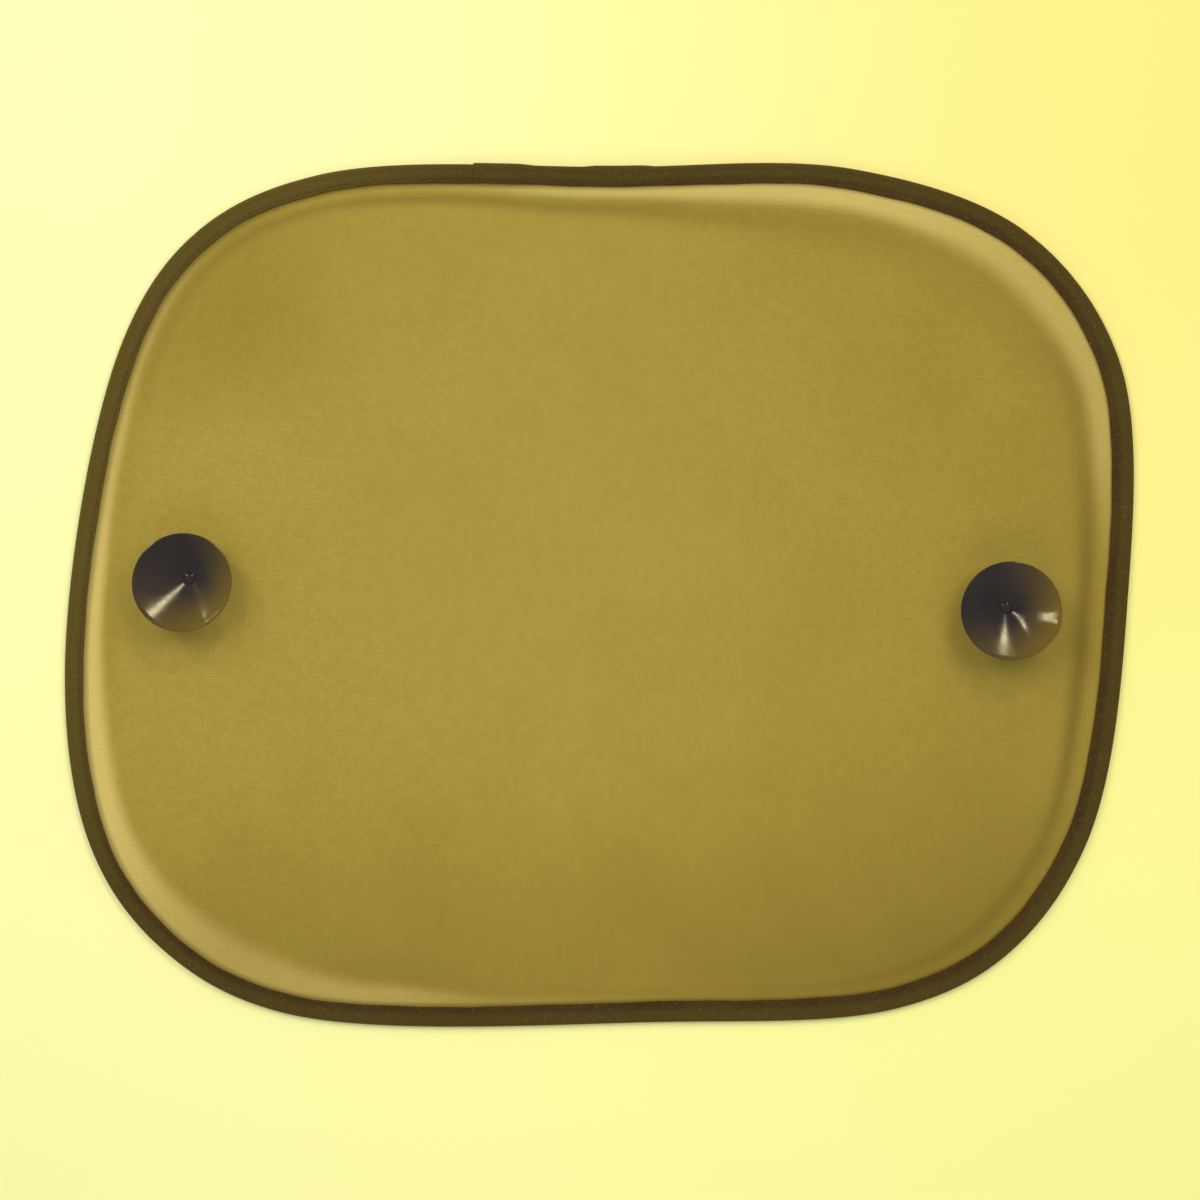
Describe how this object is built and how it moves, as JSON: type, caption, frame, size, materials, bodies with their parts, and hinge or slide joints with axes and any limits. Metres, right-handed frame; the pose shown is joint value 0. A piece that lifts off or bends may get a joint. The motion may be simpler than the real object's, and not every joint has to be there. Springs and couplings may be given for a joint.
{
  "type": "car side window sunshade",
  "caption": "Foldable mesh sunshade for a car's side window: a sprung wire hoop bound with tape, holding a fine mesh with soft cups that grip the glass.",
  "frame": {"origin": "centre of the outline on the surface that the sunshade lies on", "axes": "+X along the width towards the right side of the window, +Y up the window, +Z out of the mesh on the side of the cups"},
  "size_m": [0.4398, 0.3554, 0.0157],
  "materials": {
    "mesh": "fine knitted mesh, matt",
    "tape": "woven binding tape, matt",
    "spring_steel": "drawn spring wire",
    "sleeve_metal": "crimped sleeve",
    "cup_plastic": "glossy smoke-tinted soft PVC"
  },
  "bodies": {
    "root": {"mesh_panel": "mesh", "rim_binding": "tape", "hoop_wire": "spring_steel", "wire_sleeve": "sleeve_metal", "suction_cup_left": "cup_plastic", "suction_cup_right": "cup_plastic"}
  },
  "joints": []
}
